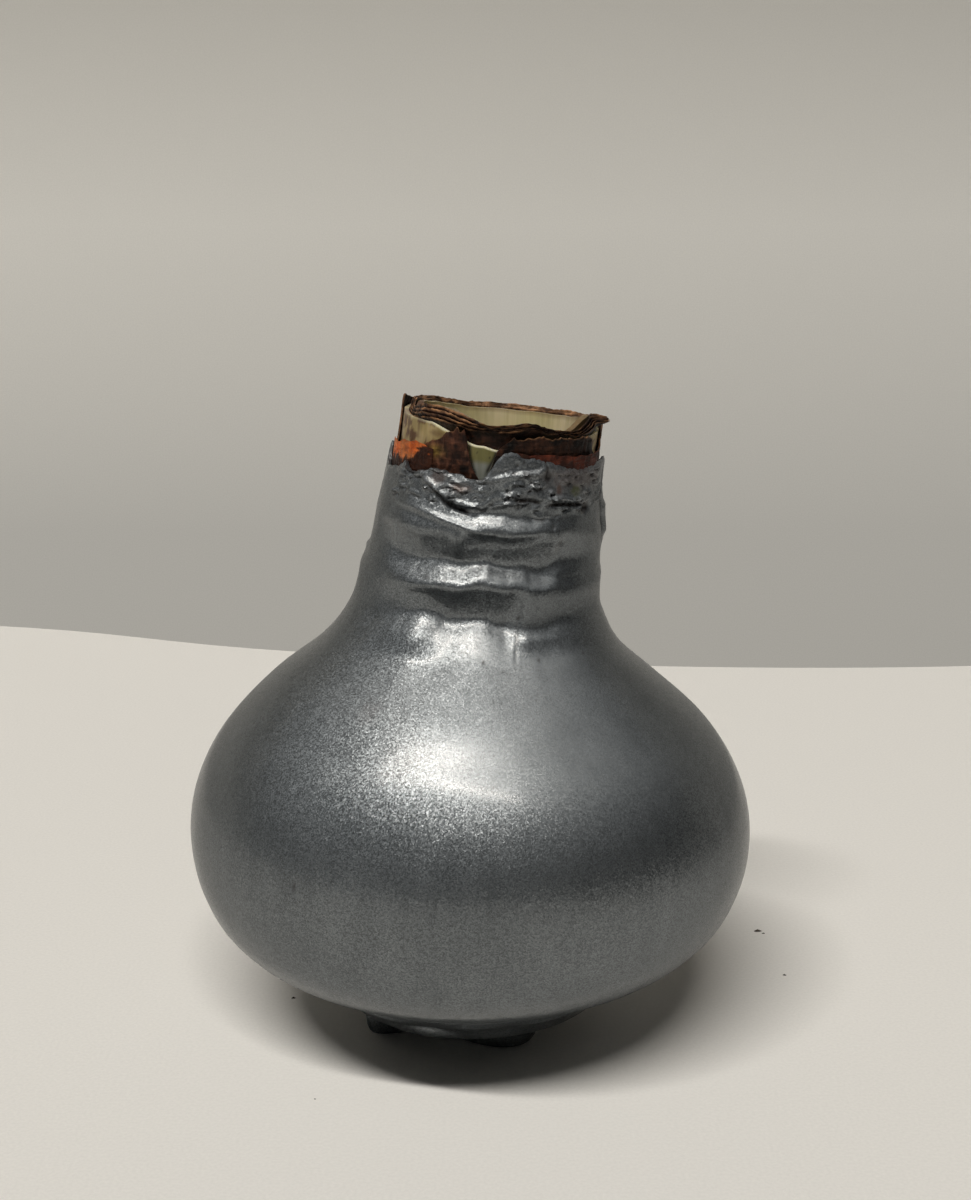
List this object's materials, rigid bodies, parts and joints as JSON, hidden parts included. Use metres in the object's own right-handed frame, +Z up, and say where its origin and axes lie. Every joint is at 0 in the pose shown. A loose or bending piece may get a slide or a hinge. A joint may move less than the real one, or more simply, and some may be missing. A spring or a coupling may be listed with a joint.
{
  "type": "waxed amaryllis bulb",
  "caption": "Squat flower bulb dipped in metallic silver wax, with a flat wax foot and an open cut neck edged by torn papery tunics, from which the flower stalk grows.",
  "frame": {"origin": "middle of the flat wax foot, on the surface that the bulb stands on", "axes": "+Z up through the bulb; +X is the side that the neck leans to; -Y is the front, where the brown tunic is split in a V"},
  "size_m": [0.0918, 0.0918, 0.1055],
  "materials": {
    "silver_wax": "satin metallic silver-grey wax with fine mica sparkle, set in soft folds on the neck",
    "bulb_flesh": "moist fleshy bulb scales, cream to pale green, fine upright veins",
    "dark_tunic": "dry layered skin, dark purple-brown, torn and curled at the cut",
    "brown_tunic": "dry papery skin, brown with purple shade and upright veins",
    "orange_tunic": "thin dry skin, orange and translucent, jagged lower edge",
    "red_tunic": "thin dry skin, red-brown, torn"
  },
  "bodies": {
    "root": {"wax_coat": "silver_wax", "bulb_flesh": "bulb_flesh", "tunic_rim": "dark_tunic", "tunic_brown": "brown_tunic", "tunic_orange": "orange_tunic", "tunic_red": "red_tunic"}
  },
  "joints": []
}
